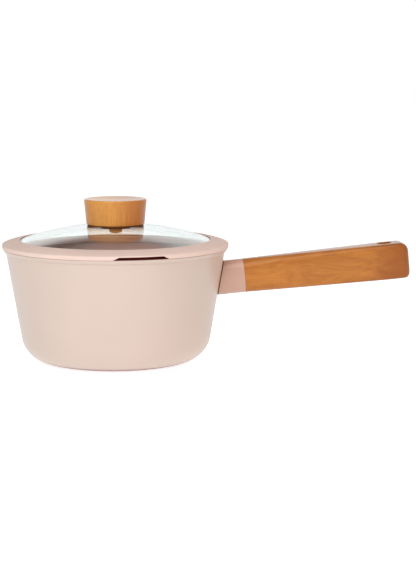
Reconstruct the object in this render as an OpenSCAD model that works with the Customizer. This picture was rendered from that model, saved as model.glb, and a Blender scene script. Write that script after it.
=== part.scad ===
// Saucepan of 18 cm with a vented glass lid, a beech lid knob and a beech handle.
// Millimetres, +Z up. The origin is the centre of the base, on the surface that the
// pan stands on, and the handle points along +X.

/* [Pan] */
// Height of the rim that the lid rests on
rim_z = 98.8; // [97:0.1:100]
// Radius where the wall and the base would meet without a fillet
foot_r = 79; // [78:0.1:79.6]
// Angle of the wall from upright
wall_lean = 9.53; // [9:0.01:9.9]
// Thickness of the wall
wall_t = 2.8; // [2.4:0.1:3.2]
// Thickness of the cast floor
floor_t = 4.2; // [3.6:0.1:5]
// Radius of the fillet round the base
foot_fillet = 23.8; // [18:0.1:25]
// Outer radius of the flared lip
lip_r = 98.1; // [97.9:0.1:98.8]

/* [Base plate] */
// Radius of the steel plate for induction hobs
plate_r = 56; // [48:0.5:57.5]
// Thickness of that plate
plate_t = 1.4; // [1:0.1:2]
// How far the plate stands proud of the casting
plate_proud = 0.3; // [0.2:0.1:0.5]

/* [Lid glass] */
// Rise of the glass above the rim
dome_rise = 20.5; // [19.5:0.1:21.5]
// Radius of the glass's upper face
dome_r = 250; // [246:0.5:256]
// Thickness of the glass
glass_t = 4; // [3.5:0.1:4.2]
// Radius of the glass's edge
glass_r = 87; // [86:0.1:87.5]

/* [Lid seal] */
// Inner radius of the seal on top of the glass
seal_eye_r = 82.4; // [80:0.1:84]
// Mean slope of the seal's upper face
seal_slope = 13.4; // [13:0.1:14]
// Width of a vent at the rim
vent_w = 48; // [30:1:56]
// Height of a vent above the rim
vent_h = 2.6; // [2:0.1:2.7]
// Direction of the first vent, counted from +X; the second is opposite
vent_angle = -79.3; // [-100:0.1:-60]

/* [Lid knob] */
// Radius of the knob's underside
knob_foot_r = 25.3; // [23:0.1:26]
// Radius of the knob's top
knob_top_r = 27.2; // [26:0.1:30]
// Height of the knob
knob_h = 21.7; // [18:0.1:26]
// Depth of the dish in the knob's top
knob_dish = 1.2; // [0.5:0.1:2]
// Radius of the silicone pad under the knob
gasket_r = 24.4; // [20:0.1:24.6]

/* [Handle] */
// Slope of the handle
handle_tilt = 5.22; // [4.5:0.01:6]
// Distance of the handle's reference point from the pan's axis
handle_x = 99; // [98.5:0.1:99.5]
// Height of the handle's reference point
handle_z = 71.3; // [70:0.1:72.5]
// Position of the joint between ferrule and grip along the handle
joint_x = 13.2; // [12.5:0.1:15]
// Position of the grip's free end along the handle
end_x = 159.4; // [156:0.1:165]
// Height of the handle at the pan
neck_h = 29.6; // [28.5:0.1:30]
// Width of the handle at the pan
neck_w = 23; // [22:0.1:24]
// Height of the handle at its free end
tail_h = 31.6; // [30:0.1:32.5]
// Width of the handle at its free end
tail_w = 29; // [26:0.1:30]
// Position of the hanging hole along the handle
hang_x = 139.5; // [134:0.1:141]
// Radius of the hanging hole
hang_r = 5.9; // [5:0.1:6.5]

/* [Hidden] */
$fn = 96;

pink = [0.87, 0.73, 0.66];
beech = [0.78, 0.52, 0.28];
steel = [0.75, 0.75, 0.76];
brass = [0.80, 0.66, 0.35];
brown = [0.33, 0.17, 0.09];

play = 0.05;                 // play between pieces of one assembly
lean = tan(wall_lean);       // growth of the wall's radius per millimetre of height
m5_r = 2.45;                 // M5 thread, as a plain shank
wood_screw_r = 1.75;         // shank of the grip's screws
wood_screw_head_r = 4;
wood_screw_head_h = 2.4;
wood_screw_sunk = 0.8;       // depth of their heads below the grip's underside
far = 200;                   // longer than any piece

function reversed(list) = [for (i = [len(list) - 1:-1:0]) list[i]];

// Points of an arc from angle a to angle b.
function arc(centre, r, a, b, steps) =
    [for (i = [0:steps]) let (t = a + (b - a) * i / steps) centre + r * [cos(t), sin(t)]];

// ---------------------------------------------------------------- pan

function wall_r(z) = foot_r + lean * z;
function inner_r(z) = wall_r(z) - wall_t / cos(wall_lean);

// How far inside the foot of a leaning side a rounded edge of radius r has its centre.
function edge_in(r, lean) = r * (1 + sin(lean)) / cos(lean);

// The filleted corner between a floor at height z and a wall that passes (r, z).
function floor_corner(r, z, fillet) =
    arc([r - fillet * tan(45 - wall_lean / 2), z + fillet], fillet, -90, -wall_lean, 14);

module pan_section() {
    edge = 0.5;
    lip_h = 3;
    lip_lean = 30;
    lip_curve = 1;
    lip_turn = 75;
    floor_z = plate_proud + floor_t;
    lip_side = [lip_r - lip_h * tan(lip_lean), rim_z - lip_h];
    lip_mid = lip_side - lip_curve * [cos(lip_lean), -sin(lip_lean)];
    lip_foot_z = lip_mid.y - lip_curve * sin(lip_turn) - edge;
    polygon(concat(
        [[0, plate_proud]],
        floor_corner(wall_r(plate_proud), plate_proud, foot_fillet),
        [[wall_r(lip_foot_z), lip_foot_z]],
        arc(lip_mid, lip_curve, -lip_turn, -lip_lean, 5),
        arc([lip_r - edge_in(edge, lip_lean), rim_z - edge], edge, -lip_lean, 90, 6),
        arc([inner_r(rim_z) + edge, rim_z - edge], edge, 90, 180 - wall_lean, 5),
        reversed(floor_corner(inner_r(floor_z), floor_z, foot_fillet - wall_t)),
        [[0, floor_z]]
    ));
}

lug_w = 12;
lug_h = 16;
lug_end = 8;       // end of the lug along the handle
lug_hole_h = 12;   // depth of the threaded hole in it

// A bar of that section along the handle, from one position to another.
module handle_bar(from, to, w, h) {
    translate([from, -w / 2, -h / 2]) cube([to - from, w, h]);
}

// The space inside the pan's outer wall, grown by that much.
module inside_wall(growth) {
    rotate_extrude() polygon([
        [0, 0], [wall_r(0) + growth, 0], [wall_r(rim_z) + growth, rim_z], [0, rim_z],
    ]);
}

module pan_body() {
    color(pink) difference() {
        union() {
            rotate_extrude() pan_section();
            difference() {
                along_handle() handle_bar(-far / 4, lug_end, lug_w, lug_h);
                inside_wall(-wall_t / 2);
            }
        }
        translate([0, 0, -1]) cylinder(r = plate_r + play, h = plate_t + 1);
        along_handle() translate([ferrule_screw_x, 0, -lug_h / 2 - 1])
            cylinder(r = m5_r + play, h = lug_hole_h + 1);
    }
}

module induction_plate() {
    groove_w = 1.2;
    groove_t = 0.4;
    first_groove_r = 16;
    groove_step = 10;
    color(steel) difference() {
        cylinder(r = plate_r, h = plate_t - play);
        for (r = [first_groove_r:groove_step:plate_r - groove_step / 2])
            rotate_extrude() translate([r, -1]) square([groove_w, groove_t + 1]);
    }
}

// ---------------------------------------------------------------- handle

// Places children in the handle's own frame, where +X runs along it.
module along_handle() {
    translate([handle_x, 0, handle_z]) rotate([0, -handle_tilt, 0]) children();
}

sides = 64;         // points round the handle
neck_power = 2.3;   // oval at the pan
tail_power = 7;     // nearly a rounded rectangle at the free end
top_round = 8;      // rounding of the free end's upper edge, seen from the side
under_round = 5;    // rounding of its lower edge
side_round = 9;     // rounding of its sides, seen from above
tang_w = 9;
tang_h = 13;
tang_end = 58;
ferrule_screw_x = 2;
grip_screw_xs = [28, 46];
gasket_t = 0.9;     // thickness of the gasket between the pan and the ferrule
gasket_inset = 0.3; // how far its edge stays inside the ferrule's outline

function mix(a, b, t) = a + (b - a) * t;
function along(x) = max(0, min(1, (x - joint_x) / (hang_x - joint_x)));

// How much a rounded end takes off at position x.
function taken(x, round) =
    let (t = max(0, x - (end_x - round)) / round) round * (1 - sqrt(max(0, 1 - t * t)));

function powered(v, e) = sign(v) * pow(abs(v), e);

// A superellipse, with separate heights above and below the middle.
function oval(w, up, down, power) = [
    for (i = [0:sides - 1])
        let (a = 360 * i / sides, c = powered(cos(a), 2 / power), s = powered(sin(a), 2 / power))
        [w / 2 * c, (s > 0 ? up : down) * s]
];

// The handle's outline at position x along it, drawn inward by shrink.
function handle_oval(x, shrink = 0) =
    let (t = along(x), h = mix(neck_h, tail_h, t) / 2)
    oval(
        mix(neck_w, tail_w, t) - 2 * taken(x, side_round) - 2 * shrink,
        h - taken(x, top_round) - shrink,
        h - taken(x, under_round) - shrink,
        mix(neck_power, tail_power, t)
    );

// Sweeps outlines of the handle through positions along it: each is [position, shrink].
module handle_sweep(stations) {
    n = len(stations);
    rings = [for (s = stations) [for (p = handle_oval(s[0], s[1])) [s[0], p.x, p.y]]];
    points = [for (ring = rings) each ring];
    quads = [
        for (k = [0:n - 2], i = [0:sides - 1]) let (j = (i + 1) % sides)
            [k * sides + i, k * sides + j, (k + 1) * sides + j, (k + 1) * sides + i]
    ];
    triangles = [for (q = quads) each [[q[0], q[2], q[1]], [q[0], q[3], q[2]]]];
    caps = [[for (i = [0:sides - 1]) i], [for (i = [sides - 1:-1:0]) (n - 1) * sides + i]];
    polyhedron(points, concat(triangles, caps));
}

module handle_gasket() {
    color(brown) difference() {
        along_handle() rotate([90, 0, 90]) translate([0, 0, -far / 4])
            linear_extrude(far / 4 + lug_end) polygon(handle_oval(0, gasket_inset));
        inside_wall(play / 2);
        outside_gasket();
        along_handle() handle_bar(-far / 4, far / 4, lug_w + 2 * play, lug_h + 2 * play);
    }
}

// Everything further from the pan than the gasket's outer face.
module outside_gasket() {
    difference() {
        cylinder(r = far, h = rim_z);
        inside_wall(gasket_t);
    }
}

module handle_ferrule() {
    screw_seat = 3;
    color(pink) difference() {
        along_handle() union() {
            rotate([90, 0, 90]) translate([0, 0, -far / 4])
                linear_extrude(far / 4 + joint_x) polygon(handle_oval(0));
            handle_bar(joint_x - 1, tang_end, tang_w, tang_h);
        }
        inside_wall(gasket_t + play / 2);
        along_handle() {
            handle_bar(-far / 4, lug_end + play, lug_w + 2 * play, lug_h + 2 * play);
            translate([ferrule_screw_x, 0, -neck_h / 2 - 1]) {
                cylinder(r = m5_r + 3 * play, h = neck_h / 2);
                cylinder(r = 2 * m5_r, h = screw_seat + 1);
            }
            for (x = grip_screw_xs) translate([x, 0, -tang_h / 2 - 1])
                cylinder(r = wood_screw_r + play, h = tang_h);
        }
    }
}

// A countersunk or cheese head below a plain shank, pointing up, with a cross recess.
module screw(head_r, head_h, shank_r, length, countersunk) {
    cross_w = head_r * 0.3;
    cross_l = head_r * 1.1;
    difference() {
        union() {
            cylinder(r1 = head_r, r2 = countersunk ? shank_r : head_r, h = head_h);
            cylinder(r = shank_r, h = length);
        }
        for (a = [0, 90]) rotate(a)
            translate([-cross_l / 2, -cross_w / 2, -1]) cube([cross_l, cross_w, 2]);
    }
}

module ferrule_screw() {
    sunk = 0.6;
    head_h = 2.35;
    length = 16;
    color(steel) along_handle() translate([ferrule_screw_x, 0, -neck_h / 2 + sunk])
        screw(2 * m5_r - 4 * play, head_h, m5_r, length, false);
}

module grip_screws() {
    length = 18;
    color(steel) along_handle() for (x = grip_screw_xs)
        translate([x, 0, -handle_half(x) + wood_screw_sunk])
            screw(wood_screw_head_r, wood_screw_head_h, wood_screw_r, length, true);
}

// Half the handle's height at position x.
function handle_half(x) = mix(neck_h, tail_h, along(x)) / 2;

module handle_grip() {
    shoulder = 0.35;
    hang_edge = 0.9;
    rounding = max(top_round, under_round);
    body_steps = 10;
    end_steps = 9;
    stations = concat(
        [[joint_x, shoulder], [joint_x + shoulder, 0]],
        [for (i = [1:body_steps]) [mix(joint_x, end_x - rounding, i / body_steps), 0]],
        [for (i = [1:end_steps]) [end_x - rounding * (1 - sin(90 * i / end_steps)), 0]]
    );
    color(beech) along_handle() difference() {
        handle_sweep(stations);
        handle_bar(joint_x - 1, tang_end + play, tang_w + 2 * play, tang_h + 2 * play);
        translate([hang_x, 0, -far / 2]) cylinder(r = hang_r, h = far);
        for (side = [0, 180]) translate([hang_x, 0, 0]) rotate([side, 0, 0])
            translate([0, 0, tail_h / 2 - hang_edge])
                cylinder(r1 = hang_r, r2 = hang_r + 2 * hang_edge, h = 2 * hang_edge);
        for (x = grip_screw_xs) translate([x, 0, -handle_half(x)]) {
            translate([0, 0, -1]) cylinder(r = wood_screw_head_r + play, h = wood_screw_sunk + 1);
            translate([0, 0, wood_screw_sunk])
                cylinder(
                    r1 = wood_screw_head_r + play, r2 = wood_screw_r + play, h = wood_screw_head_h
                );
            cylinder(r = wood_screw_r + play, h = handle_half(x));
        }
    }
}

// ---------------------------------------------------------------- lid

dome_top = rim_z + dome_rise;
glass_z = dome_top - dome_r;           // centre of both faces of the glass
glass_hole_r = 4.8;
knob_z = dome_top - 0.2;               // underside of the knob
gasket_seat = 0.8;                     // recess for the pad in the knob's underside
washer_r = 12.75;
washer_t = 1.5;
washer_top = dome_top - glass_t - 0.4; // clear of the curved underside of the glass
insert_r = 4.2;
insert_h = 11;

function glass_top(r) = glass_z + sqrt(pow(dome_r, 2) - r * r);
function glass_under(r) = glass_z + sqrt(pow(dome_r - glass_t, 2) - r * r);

module glass_dome() {
    color("lightcyan", 0.4) difference() {
        intersection() {
            translate([0, 0, glass_z]) sphere(r = dome_r, $fn = 360);
            cylinder(r = glass_r, h = far);
        }
        translate([0, 0, glass_z]) sphere(r = dome_r - glass_t, $fn = 360);
        cylinder(r = glass_hole_r, h = far);
    }
}

module seal_section() {
    edge_r = 1.3;
    small_edge = 0.5;
    side_lean = 6;             // the outer side leans outward
    side_h = 2.4;              // from the rim to the seal's widest point
    crown = 8.5;               // the upper face is steeper outside and flatter inside
    under_t = 1.2;             // thickness of the inner edge below the glass
    skirt_h = 4.2;             // the skirt that centres the lid in the pan
    skirt_edge = 0.6;
    skirt_gap = 1.2;           // between the skirt's foot and the pan
    root = 1.6;                // the skirt's root, inside and outside
    mouth_r = inner_r(rim_z);
    groove_r = glass_r + play;
    under_eye_r = seal_eye_r - 2;
    groove_steps = [0:0.25:1];
    steep = seal_slope + crown;
    flat = seal_slope - crown;
    shoulder = [
        lip_r + side_h * tan(side_lean) - edge_r * cos(side_lean),
        rim_z + side_h + edge_r * sin(side_lean),
    ];
    crown_foot = shoulder + edge_r * [sin(steep), cos(steep)];
    crown_end_r = seal_eye_r + small_edge * (1 + sin(flat));
    crown_r = (crown_foot.x - crown_end_r) / (sin(steep) - sin(flat));
    crown_mid = crown_foot - crown_r * [sin(steep), cos(steep)];
    eye_edge = crown_mid + (crown_r - small_edge) * [sin(flat), cos(flat)];
    skirt_z = rim_z - skirt_h + skirt_edge;
    polygon(concat(
        [[mouth_r - 2 * play, rim_z]],
        arc([lip_r - edge_in(small_edge, -side_lean), rim_z + small_edge],
            small_edge, -90, -side_lean, 4),
        arc(shoulder, edge_r, -side_lean, 90 - steep, 8),
        arc(crown_mid, crown_r, 90 - steep, 90 - flat, 8),
        arc(eye_edge, small_edge, 90 - flat, 180, 5),
        [for (t = groove_steps) let (r = mix(seal_eye_r, groove_r, t)) [r, glass_top(r) + play]],
        [for (t = groove_steps) let (r = mix(groove_r, under_eye_r, t))
            [r, glass_under(r) - play]],
        [[under_eye_r, glass_under(under_eye_r) - under_t], [glass_r - root / 2, rim_z - root]],
        arc([glass_r + root + skirt_edge, skirt_z], skirt_edge, 180, 270, 3),
        arc([mouth_r - skirt_gap - skirt_edge, skirt_z], skirt_edge, -90, -10, 4),
        [[mouth_r - skirt_gap / 2, rim_z - root / 2]]
    ));
}

module vent() {
    wall = 1;                  // left between the vent and the edge of the glass
    roof_w = vent_w - 10.5;
    roof_z = rim_z + vent_h;
    foot_z = rim_z - 8;
    start_r = glass_r + wall;
    rotate([90, 0, 90]) translate([0, 0, start_r]) linear_extrude(far) polygon([
        [-vent_w / 2, foot_z], [vent_w / 2, foot_z], [vent_w / 2, rim_z],
        [roof_w / 2, roof_z], [-roof_w / 2, roof_z], [-vent_w / 2, rim_z],
    ]);
}

module rim_seal() {
    color(pink) difference() {
        rotate_extrude() seal_section();
        for (side = [0, 180]) rotate(vent_angle + side) vent();
    }
}

module lid_knob() {
    edge = 1.1;
    foot_edge = 0.5;
    dish_r = knob_top_r - 3;
    dish_curve = (dish_r * dish_r + knob_dish * knob_dish) / (2 * knob_dish);
    dish_angle = asin(dish_r / dish_curve);
    color(beech) translate([0, 0, knob_z]) difference() {
        rotate_extrude() polygon(concat(
            [[0, 0]],
            arc([knob_foot_r - foot_edge, foot_edge], foot_edge, -90, -5, 4),
            arc([knob_top_r - edge, knob_h - edge], edge, -5, 90, 8),
            arc([0, knob_h - knob_dish + dish_curve], dish_curve, -90 + dish_angle, -90, 8)
        ));
        translate([0, 0, -1]) cylinder(r = gasket_r + play, h = gasket_seat + 1);
        cylinder(r = insert_r + play, h = gasket_seat + insert_h + 1);
    }
}

module knob_gasket() {
    steps = 12;
    pad_top = knob_z + gasket_seat - play;
    color(brown) difference() {
        rotate_extrude() polygon(concat(
            [for (i = [0:steps]) let (r = gasket_r * i / steps) [r, glass_top(r) + play]],
            [[gasket_r, pad_top], [0, pad_top]]
        ));
        cylinder(r = glass_hole_r, h = far);
    }
}

module knob_insert() {
    color(brass) translate([0, 0, knob_z + gasket_seat]) difference() {
        cylinder(r = insert_r, h = insert_h);
        translate([0, 0, -1]) cylinder(r = m5_r + play, h = far);
    }
}

module glass_grommet() {
    washer_z = washer_top - washer_t;
    color(brown) difference() {
        translate([0, 0, washer_z]) union() {
            cylinder(r = washer_r, h = washer_t);
            cylinder(r = glass_hole_r - play, h = knob_z + gasket_seat - play - washer_z);
        }
        cylinder(r = m5_r + play, h = far);
    }
}

module knob_screw() {
    head_r = 5.65;
    head_h = 3.8;
    length = 17;
    crown = 1.4;
    cross_w = 1.2;
    cross_l = 6;
    cross_t = 1.6;
    crown_r = (head_r * head_r + crown * crown) / (2 * crown);
    crown_angle = asin(head_r / crown_r);
    color(brown) translate([0, 0, washer_top - washer_t - head_h]) difference() {
        union() {
            rotate_extrude() polygon(concat(
                arc([0, crown_r], crown_r, -90, -90 + crown_angle, 8),
                [[head_r, head_h], [0, head_h]]
            ));
            cylinder(r = m5_r, h = length);
        }
        for (a = [0, 90]) rotate(a) translate([-cross_l / 2, -cross_w / 2, -1])
            cube([cross_l, cross_w, cross_t + 1]);
    }
}

pan_body();
induction_plate();
handle_gasket();
handle_ferrule();
ferrule_screw();
handle_grip();
grip_screws();
glass_dome();
rim_seal();
lid_knob();
knob_insert();
knob_gasket();
glass_grommet();
knob_screw();
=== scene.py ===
"""Looks of an 18 cm saucepan with a vented glass lid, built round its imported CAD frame.

Metres, +Z up, the handle along +X. The pan's axis is the Z axis.
"""
import math

import bmesh
import bpy
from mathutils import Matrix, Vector


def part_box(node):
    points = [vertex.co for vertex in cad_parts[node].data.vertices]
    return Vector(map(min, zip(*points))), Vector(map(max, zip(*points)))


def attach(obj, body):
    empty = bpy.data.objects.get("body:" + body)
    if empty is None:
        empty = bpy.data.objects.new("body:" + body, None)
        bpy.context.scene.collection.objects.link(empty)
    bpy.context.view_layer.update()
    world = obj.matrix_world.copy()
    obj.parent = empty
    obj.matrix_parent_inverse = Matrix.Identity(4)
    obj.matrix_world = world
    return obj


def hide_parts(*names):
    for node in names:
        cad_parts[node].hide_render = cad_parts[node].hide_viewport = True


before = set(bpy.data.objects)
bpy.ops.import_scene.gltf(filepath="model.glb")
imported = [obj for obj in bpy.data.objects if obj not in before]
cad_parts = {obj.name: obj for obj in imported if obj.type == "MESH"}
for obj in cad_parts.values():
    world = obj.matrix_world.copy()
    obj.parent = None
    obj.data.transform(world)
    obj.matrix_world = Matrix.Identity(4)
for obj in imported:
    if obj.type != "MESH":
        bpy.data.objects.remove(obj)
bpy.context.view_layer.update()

MM = 0.001
WHITE = (1.0, 1.0, 1.0)
HANDLE_TILT = math.radians(5.22)    # the handle rises by this towards its free end
RIM_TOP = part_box("pan_body")[1][2]


# ---------------------------------------------------------------- node trees


class Nodes:
    """A short way to write a node tree: each step adds a node and returns one of its outputs."""

    def __init__(self, tree):
        self.tree = tree
        tree.nodes.clear()

    def add(self, kind, values=(), out=0, **settings):
        node = self.tree.nodes.new(kind)
        for name, value in settings.items():
            setattr(node, name, value)
        for socket, value in dict(values).items():
            self.put(node.inputs[socket], value)
        return node.outputs[out] if len(node.outputs) else node

    def put(self, socket, value):
        if isinstance(value, bpy.types.NodeSocket):
            self.tree.links.new(value, socket)
        else:
            socket.default_value = value

    def math(self, operation, a, b=0.0):
        return self.add("ShaderNodeMath", {0: a, 1: b}, operation=operation)

    def plus(self, a, b):
        return self.math("ADD", a, b)

    def times(self, a, b):
        return self.math("MULTIPLY", a, b)

    def ramp(self, value, low, high, to_low=0.0, to_high=1.0):
        """A smooth step from to_low at low to to_high at high."""
        return self.add(
            "ShaderNodeMapRange",
            {0: value, 1: low, 2: high, 3: to_low, 4: to_high},
            interpolation_type="SMOOTHSTEP",
        )

    def mix(self, factor, a, b):
        """Mixes two colours; each is a socket or three numbers."""
        node = self.tree.nodes.new("ShaderNodeMix")
        node.data_type = "RGBA"
        self.put(node.inputs[0], factor)
        for socket, colour in ((node.inputs[6], a), (node.inputs[7], b)):
            self.put(socket, colour if isinstance(colour, bpy.types.NodeSocket) else (*colour, 1.0))
        return node.outputs[2]

    def surface(self, values):
        """Ends the tree of a material in a Principled shader with those values."""
        shader = self.add("ShaderNodeBsdfPrincipled", values)
        self.add("ShaderNodeOutputMaterial", {"Surface": shader})


def new_material(name):
    material = bpy.data.materials.new(name)
    material.use_nodes = True
    return material, Nodes(material.node_tree)


# ---------------------------------------------------------------- camera

VIEW_YAW = math.radians(-5.0)       # the handle points a little away from the camera
CAMERA_DISTANCE = 1.50
CAMERA_ASIDE = 0.0804
CAMERA_HEIGHT = 0.278
CAMERA_PITCH = math.radians(8.027)  # downwards
CAMERA_LENS = 110.16                # millimetres, as is the sensor's width
CAMERA_SENSOR = 36.0


def make_camera():
    right = Vector((math.cos(VIEW_YAW), math.sin(VIEW_YAW), 0.0))
    back = Vector((math.sin(VIEW_YAW), -math.cos(VIEW_YAW), 0.0))
    up = Vector((0.0, 0.0, 1.0))
    data = bpy.data.cameras.new("camera")
    data.sensor_width = CAMERA_SENSOR
    data.lens = CAMERA_LENS
    data.clip_start = 0.05
    data.clip_end = 50.0
    camera = bpy.data.objects.new("camera", data)
    camera.location = CAMERA_ASIDE * right + CAMERA_DISTANCE * back + CAMERA_HEIGHT * up
    look = -math.cos(CAMERA_PITCH) * back - math.sin(CAMERA_PITCH) * up
    camera.rotation_mode = "QUATERNION"
    camera.rotation_quaternion = look.to_track_quat("-Z", "Y")
    bpy.context.scene.collection.objects.link(camera)
    bpy.context.scene.camera = camera


# ---------------------------------------------------------------- room, floor and lights

WARM_WHITE = (1.0, 0.82, 0.74)
COOL_WHITE = (0.975, 1.0, 1.0)
CEILING_PINK = (1.0, 0.50, 0.47)

# Strengths of the room's light, where 1 is the plain white that the camera sees
BACKDROP_NEAR = 0.86            # the backdrop on the camera's side
BACKDROP_FAR = 1.05             # the backdrop behind the pan
ABOVE_BACKDROP = 0.03           # the part of it that is left above its upper edge
FULLY_ASIDE = 0.68              # the part of it that is left at the far left and right
ZENITH = 0.30
CEILING = 0.55                  # the pink ceiling, for reflections only
INTO_PAN = 0.90                 # added for light that enters the pan through the lid
SEEN_THROUGH_GLASS = 2.0        # what the camera sees through the lid

# Where the light changes, from and to, as parts of a unit direction: along X (to the right),
# along Y (away from the camera) and along Z (up)
FAR_SIDE = (0.0, 0.5)
BACKDROP_EDGE = (0.43, 0.595)
BACKDROP_EDGE_SLOPE = 0.3       # the upper edge rises by this towards the right
ASIDE = (0.55, 0.95)
TOWARDS_ZENITH = (0.70, 0.98)
CEILING_RISE = (0.56, 0.61)
CEILING_LEFT_END = (-0.15, -0.01)
WARM_SIDE = (-0.1, 0.7)

FLOOR_HALF = 6.0
FLOOR_DROP = 0.1 * MM           # keeps the floor's surface clear of the steel plate's
FLOOR_GREY = (0.60, 0.60, 0.60, 1.0)
FLOOR_GLOW = 0.58               # as the object is lit by it
FLOOR_GLOW_SEEN = 0.85          # as the camera sees it

LIGHT_TARGET = Vector((0.06, 0.0, 0.07))


def seen_by_camera(n):
    """1 for what the camera sees, straight on or through glass, and 0 for light on its way to a surface."""
    path = n.tree.nodes.new("ShaderNodeLightPath")
    direct = n.math("MAXIMUM", path.outputs["Is Camera Ray"], path.outputs["Is Transmission Ray"])
    bounces = n.plus(path.outputs["Diffuse Depth"], path.outputs["Glossy Depth"])
    return n.times(direct, n.math("LESS_THAN", bounces, 0.5))


def make_world():
    """A bright backdrop up to a third of the way to the zenith, with a darker room above it.

    The dim pink ceiling is there for reflections only. The camera sees the room as plain white, and
    through the glass as an overexposed white.
    """
    world = bpy.data.worlds.new("studio")
    bpy.context.scene.world = world
    world.use_nodes = True
    n = Nodes(world.node_tree)
    direction = world.node_tree.nodes.new("ShaderNodeSeparateXYZ")
    n.put(direction.inputs[0], n.add("ShaderNodeTexCoord", out="Generated"))
    aside, depth, height = direction.outputs
    path = world.node_tree.nodes.new("ShaderNodeLightPath")

    behind = n.ramp(depth, *FAR_SIDE)
    edge = n.math("SUBTRACT", height, n.times(aside, BACKDROP_EDGE_SLOPE))
    backdrop = n.ramp(behind, 0.0, 1.0, BACKDROP_NEAR, BACKDROP_FAR)
    backdrop = n.times(backdrop, n.ramp(edge, *BACKDROP_EDGE, 1.0, ABOVE_BACKDROP))
    backdrop = n.times(backdrop, n.ramp(n.math("ABSOLUTE", aside), *ASIDE, 1.0, FULLY_ASIDE))
    ceiling = n.times(n.ramp(height, *CEILING_RISE), n.ramp(aside, *CEILING_LEFT_END))
    ceiling = n.times(ceiling, path.outputs["Is Glossy Ray"])
    after_diffuse = n.math("GREATER_THAN", path.outputs["Diffuse Depth"], 0.5)
    into_pan = n.times(after_diffuse, path.outputs["Is Transmission Ray"])

    lighting = n.plus(backdrop, n.ramp(height, *TOWARDS_ZENITH, 0.0, ZENITH))
    lighting = n.plus(lighting, n.times(into_pan, INTO_PAN))
    lighting = n.plus(lighting, n.times(ceiling, CEILING))
    seen = seen_by_camera(n)
    seen_strength = n.ramp(path.outputs["Is Camera Ray"], 0.0, 1.0, SEEN_THROUGH_GLASS, 1.0)
    strength = n.plus(n.times(n.math("SUBTRACT", 1.0, seen), lighting), n.times(seen, seen_strength))

    near_colour = n.mix(n.ramp(aside, *WARM_SIDE), WHITE, WARM_WHITE)
    room_colour = n.mix(ceiling, n.mix(behind, near_colour, COOL_WHITE), CEILING_PINK)
    colour = n.mix(seen, room_colour, WHITE)
    background = n.add("ShaderNodeBackground", {"Color": colour, "Strength": strength})
    n.add("ShaderNodeOutputWorld", {"Surface": background})


def make_floor():
    """A pale floor, which the camera sees as plain white."""
    mesh = bpy.data.meshes.new("floor")
    signs = ((-1, -1), (1, -1), (1, 1), (-1, 1))
    corners = [(x * FLOOR_HALF, y * FLOOR_HALF, -FLOOR_DROP) for x, y in signs]
    mesh.from_pydata(corners, [], [(0, 1, 2, 3)])
    floor = bpy.data.objects.new("floor", mesh)
    bpy.context.scene.collection.objects.link(floor)
    material, n = new_material("floor_white")
    n.surface(
        {
            "Base Color": FLOOR_GREY,
            "Roughness": 0.9,
            "Emission Color": (*WHITE, 1.0),
            "Emission Strength": n.ramp(seen_by_camera(n), 0.0, 1.0, FLOOR_GLOW, FLOOR_GLOW_SEEN),
        }
    )
    mesh.materials.append(material)


def make_area(name, size, power, distance, azimuth, elevation, colour=WHITE):
    """A softbox, at an azimuth that is 0 at the camera's side of the object and grows to the right."""
    data = bpy.data.lights.new(name, "AREA")
    data.shape = "RECTANGLE"
    data.size, data.size_y = size
    data.energy = power
    data.color = colour
    light = bpy.data.objects.new(name, data)
    bearing = VIEW_YAW + math.radians(azimuth)
    rise = math.radians(elevation)
    level = math.cos(rise)
    away = Vector((math.sin(bearing) * level, -math.cos(bearing) * level, math.sin(rise)))
    light.location = LIGHT_TARGET + distance * away
    light.rotation_mode = "QUATERNION"
    light.rotation_quaternion = (-away).to_track_quat("-Z", "Y")
    light.visible_camera = False
    bpy.context.scene.collection.objects.link(light)


make_camera()
make_world()
make_floor()
make_area("key", size=(0.9, 1.0), power=6.4, distance=1.3, azimuth=-25.0, elevation=27.0)
make_area("fill", size=(0.8, 1.2), power=0.85, distance=1.6, azimuth=58.0, elevation=18.0, colour=WARM_WHITE)
make_area("top", size=(1.3, 0.9), power=6.2, distance=1.4, azimuth=-4.0, elevation=60.0)
bpy.context.scene.view_settings.view_transform = "Standard"


# ---------------------------------------------------------------- materials

# Painted shade: the dark red that ambient occlusion paints into slots and seams, and the AO values where it
# is full and where it is gone
CREVICE_PAINTED_SHADE = (0.21, 0.009, 0.003)
PAINTED_SHADE_OPENNESS = (0.26, 0.66)     # of a spot that has the full tint, and of one that has none
SPECK = (0.45, 0.30, 0.25)
NOISE_MIDDLE = (0.3, 0.7)           # most of a noise's values lie between these
FIGURE_GRAIN = 0.30                 # least scale of the wood's figure along the grain
KNOB_TURN = 0.6                     # radians by which the knob's figure is turned round its axis


def object_mm(n, rotation=(0.0, 0.0, 0.0), scale=(1.0, 1.0, 1.0), shift=0.0):
    """The piece's own coordinates, in millimetres, turned, shifted along X and stretched."""
    place = n.add("ShaderNodeTexCoord", out="Object")
    turned = n.add(
        "ShaderNodeMapping", {"Vector": place, "Rotation": rotation, "Location": (shift * MM, 0.0, 0.0)}
    )
    return n.add("ShaderNodeMapping", {"Vector": turned, "Scale": tuple(s / MM for s in scale)})


def noise(n, vector, scale, detail, roughness=0.5, distortion=0.0):
    return n.add(
        "ShaderNodeTexNoise",
        {
            "Vector": vector,
            "Scale": scale,
            "Detail": detail,
            "Roughness": roughness,
            "Distortion": distortion,
        },
    )


def bump(n, height, strength, distance):
    return n.add("ShaderNodeBump", {"Strength": strength, "Distance": distance, "Height": height})


def shade(colour, part):
    """The same colour, with that part of its brightness."""
    return tuple(c * part for c in colour)


def paint_crevice_shade(n, colour, reach):
    """Paints shade: darkens a colour where the surface lies in a slot or a seam, with walls within that
    reach.
    """
    node = n.tree.nodes.new("ShaderNodeAmbientOcclusion")
    node.samples = 8
    node.inputs["Distance"].default_value = reach
    return n.mix(n.ramp(node.outputs["AO"], *PAINTED_SHADE_OPENNESS), CREVICE_PAINTED_SHADE, colour)


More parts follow.
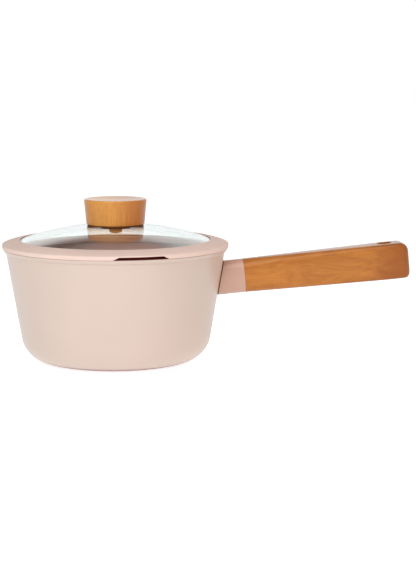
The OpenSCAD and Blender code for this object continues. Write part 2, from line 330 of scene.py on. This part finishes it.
def coat_material(name, base):
    """Sprayed ceramic coat: a faint orange peel, fine specks and slow changes of tone, with painted shade in
    seams and slots.
    """
    material, n = new_material(name)
    place = object_mm(n)
    tone = noise(n, place, scale=0.018, detail=3.0)
    speck = noise(n, place, scale=2.4, detail=2.0, roughness=0.6)
    peel = noise(n, place, scale=0.55, detail=2.0, roughness=0.55)
    colour = n.mix(n.ramp(tone, *NOISE_MIDDLE), shade(base, 0.975), base)
    colour = n.mix(n.times(n.ramp(speck, 0.62, 0.78), 0.10), colour, SPECK)
    height = n.plus(n.times(peel, 0.7), n.times(speck, 0.3))
    n.surface(
        {
            "Base Color": paint_crevice_shade(n, colour, reach=4.5 * MM),
            "Roughness": n.ramp(tone, 0.2, 0.8, 0.27, 0.34),
            "IOR": 1.5,
            "Coat Weight": 0.25,
            "Coat Roughness": 0.18,
            "Normal": bump(n, height, strength=0.10, distance=0.12 * MM),
        }
    )
    return material


def silicone_material(name, base):
    """Matte silicone with a fine moulded texture, and painted shade in its vents and seams."""
    material, n = new_material(name)
    place = object_mm(n)
    tone = noise(n, place, scale=0.03, detail=3.0)
    fine = noise(n, place, scale=3.5, detail=3.0, roughness=0.6)
    colour = n.mix(n.ramp(tone, *NOISE_MIDDLE), shade(base, 0.96), base)
    n.surface(
        {
            "Base Color": paint_crevice_shade(n, colour, reach=12 * MM),
            "Roughness": n.ramp(fine, *NOISE_MIDDLE, 0.53, 0.66),
            "IOR": 1.31,
            "Normal": bump(n, fine, strength=0.12, distance=0.08 * MM),
        }
    )
    return material


def beech_material(name, light, dark, rotation, grain, mottle, darker_from, darker_to, shift=0.0):
    """Oiled beech: soft mottling, thin streaks along the grain, fine pores and short dark flecks.

    The grain runs along the axis where its scale is small. Mottle is the part of the tone that comes
    from the mottling, and the rest comes from the streaks. The wood darkens along X from darker_from
    to darker_to, in millimetres.
    """
    material, n = new_material(name)
    along = object_mm(n, rotation, grain)
    mottled = object_mm(n, rotation, tuple(max(g, FIGURE_GRAIN) for g in grain), shift)
    figure = noise(n, mottled, scale=0.075, detail=5.0, roughness=0.66, distortion=1.4)
    streak = noise(n, along, scale=0.9, detail=4.0, roughness=0.62, distortion=0.4)
    pores = noise(n, along, scale=2.6, detail=2.0, roughness=0.6)
    fleck = n.add("ShaderNodeTexVoronoi", {"Vector": mottled, "Scale": 0.8, "Randomness": 1.0})
    along_x = n.add("ShaderNodeSeparateXYZ", {0: object_mm(n)})
    blend = n.plus(n.times(figure, mottle), n.times(streak, 1.0 - mottle))
    blend = n.plus(blend, n.ramp(along_x, darker_from, darker_to, 0.0, 0.34))
    deep = shade(dark, 0.42)
    colour = n.mix(n.ramp(blend, 0.22, 0.84), light, dark)
    colour = n.mix(n.times(n.ramp(fleck, 0.22, 0.05), 0.30), colour, deep)
    colour = n.mix(n.times(n.ramp(pores, 0.56, 0.76), 0.20), colour, deep)
    height = n.plus(n.times(streak, 0.5), n.times(pores, 0.5))
    n.surface(
        {
            "Base Color": colour,
            "Roughness": n.ramp(pores, 0.3, 0.8, 0.14, 0.24),
            "IOR": 1.42,
            "Normal": bump(n, height, strength=0.06, distance=0.15 * MM),
        }
    )
    return material


def glass_material(name):
    """Clear tempered glass with the faintest wiping marks."""
    material, n = new_material(name)
    wipe = noise(n, object_mm(n), scale=0.05, detail=4.0, roughness=0.6, distortion=1.5)
    n.surface(
        {
            "Base Color": (0.935, 0.996, 0.988, 1.0),
            "Roughness": n.ramp(wipe, 0.45, 0.75, 0.0, 0.006),
            "IOR": 1.45,
            "Transmission Weight": 1.0,
        }
    )
    return material


def rubber_material(name, base, roughness):
    """Dark rubber with a fine grain."""
    material, n = new_material(name)
    place = object_mm(n)
    fine = noise(n, place, scale=4.0, detail=3.0, roughness=0.6)
    tone = noise(n, place, scale=0.2, detail=2.0)
    n.surface(
        {
            "Base Color": n.mix(n.ramp(tone, *NOISE_MIDDLE), shade(base, 0.8), base),
            "Roughness": n.ramp(fine, *NOISE_MIDDLE, roughness - 0.08, roughness + 0.08),
            "IOR": 1.35,
            "Normal": bump(n, fine, strength=0.2, distance=0.06 * MM),
        }
    )
    return material


def turned_metal_material(name, base, roughness):
    """Metal with fine circular tool marks round the Z axis."""
    material, n = new_material(name)
    place = object_mm(n)
    flat = n.add("ShaderNodeMapping", {"Vector": place, "Scale": (1.0, 1.0, 0.0)})
    radius = n.add("ShaderNodeVectorMath", {0: flat}, out="Value", operation="LENGTH")
    marks = noise(n, n.add("ShaderNodeCombineXYZ", {0: radius}), scale=6.0, detail=3.0, roughness=0.7)
    stain = noise(n, place, scale=0.06, detail=3.0)
    n.surface(
        {
            "Base Color": n.mix(n.ramp(stain, *NOISE_MIDDLE), shade(base, 0.88), base),
            "Metallic": 1.0,
            "Roughness": n.ramp(marks, *NOISE_MIDDLE, roughness - 0.06, roughness + 0.10),
            "Anisotropic": 0.4,
            "Normal": bump(n, marks, strength=0.25, distance=0.05 * MM),
        }
    )
    return material


COAT = coat_material("pink_ceramic_coat", base=(0.665, 0.538, 0.464))
# The inside wears the same pink coat; this redder copy paints in the warm light that bounces round the
# covered pan
INNER_COAT_PAINTED_LIGHT = coat_material("pink_inner_coat_painted_light", base=(0.88, 0.42, 0.40))
# The ferrule wears the same pink coat as the body; this darker, redder copy is painted shade
FERRULE_COAT_PAINTED_SHADE = coat_material("pink_ferrule_coat_painted_shade", base=(0.61, 0.375, 0.285))
SEAL = silicone_material("pink_silicone", base=(0.815, 0.632, 0.553))
GRIP_WOOD = beech_material(
    "beech_along_handle",
    light=(0.59, 0.222, 0.034),
    dark=(0.34, 0.098, 0.012),
    rotation=(0.0, HANDLE_TILT, 0.0),
    grain=(0.05, 1.0, 1.0),
    mottle=0.72,
    darker_from=208.0,
    darker_to=256.0,
    shift=60.0,
)
KNOB_WOOD = beech_material(
    "beech_knob",
    light=(0.77, 0.355, 0.070),
    dark=(0.56, 0.195, 0.033),
    rotation=(0.0, 0.0, KNOB_TURN),
    grain=(1.0, 1.0, 0.05),
    mottle=0.45,
    # painted shade: the knob darkens towards its right side, away from the key light
    darker_from=-8.0,
    darker_to=26.0,
)
GLASS = glass_material("tempered_glass")
GASKET = rubber_material("gasket_brown", base=(0.22, 0.070, 0.026), roughness=0.85)
GROMMET = rubber_material("grommet_brown", base=(0.16, 0.055, 0.020), roughness=0.45)
PLATE = turned_metal_material("plate_steel", base=(0.62, 0.61, 0.60), roughness=0.32)
SCREW = turned_metal_material("screw_steel", base=(0.55, 0.55, 0.56), roughness=0.30)
BRASS = turned_metal_material("insert_brass", base=(0.72, 0.52, 0.24), roughness=0.30)
BRONZE = turned_metal_material("screw_bronze", base=(0.24, 0.09, 0.035), roughness=0.35)


# ---------------------------------------------------------------- pieces

WELD_DISTANCE = 0.002 * MM
SMOOTH_BELOW = math.radians(32.0)   # a sharper edge stays sharp
FACES_INWARD = 0.3                  # least part of a normal that points to the pan's axis
FACES_UP = 0.7                      # least part of a normal that points up
RIM_BAND = 2 * MM                   # faces this close to the rim's top belong to the outside


def looks_inside(face):
    """Whether a face looks up or towards the Z axis, as the inside of a bowl does."""
    centre = face.calc_center_median()
    normal = face.normal
    inward = -(centre.x * normal.x + centre.y * normal.y)
    looks_up = normal.z > FACES_UP and centre.z < RIM_TOP - RIM_BAND
    return inward > FACES_INWARD * math.hypot(centre.x, centre.y) or looks_up


def finish_piece(node, material, body):
    """A welded copy of a CAD node with smooth shading, which stands for that node.

    A pair of materials is for the outside and for the faces that look towards the pan's axis; the pan's
    inner one is a copy of its coat with painted light.
    """
    outer, inner = material if isinstance(material, tuple) else (material, None)
    work = bmesh.new()
    work.from_mesh(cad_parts[node].data)
    bmesh.ops.remove_doubles(work, verts=work.verts, dist=WELD_DISTANCE)
    for face in work.faces:
        face.smooth = True
        face.material_index = int(inner is not None and looks_inside(face))
    for edge in work.edges:
        edge.smooth = len(edge.link_faces) == 2 and edge.calc_face_angle(math.pi) < SMOOTH_BELOW
    mesh = bpy.data.meshes.new(node + "_skin")
    work.to_mesh(mesh)
    work.free()
    if "custom_normal" in mesh.attributes:
        mesh.attributes.remove(mesh.attributes["custom_normal"])
    mesh.materials.clear()
    mesh.materials.append(outer)
    if inner is not None:
        mesh.materials.append(inner)
    piece = bpy.data.objects.new(node + "_skin", mesh)
    bpy.context.scene.collection.objects.link(piece)
    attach(piece, body)
    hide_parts(node)


for node, material, slot, body in (
    ("pan_body", (COAT, INNER_COAT_PAINTED_LIGHT), "pink_coat", "pan"),
    ("induction_plate", PLATE, "plate_steel", "pan"),
    ("handle_gasket", GASKET, "gasket_brown", "pan"),
    ("handle_ferrule", FERRULE_COAT_PAINTED_SHADE, "pink_coat", "pan"),
    ("ferrule_screw", SCREW, "screw_steel", "pan"),
    ("handle_grip", GRIP_WOOD, "beech", "pan"),
    ("grip_screws", SCREW, "screw_steel", "pan"),
    ("glass_dome", GLASS, "lid_glass", "lid"),
    ("rim_seal", SEAL, "seal_silicone", "lid"),
    ("lid_knob", KNOB_WOOD, "beech", "lid"),
    ("knob_insert", BRASS, "insert_brass", "lid"),
    ("knob_gasket", GASKET, "gasket_brown", "lid"),
    ("glass_grommet", GROMMET, "grommet_brown", "lid"),
    ("knob_screw", BRONZE, "screw_brown", "lid"),
):
    finish_piece(node, material, body)
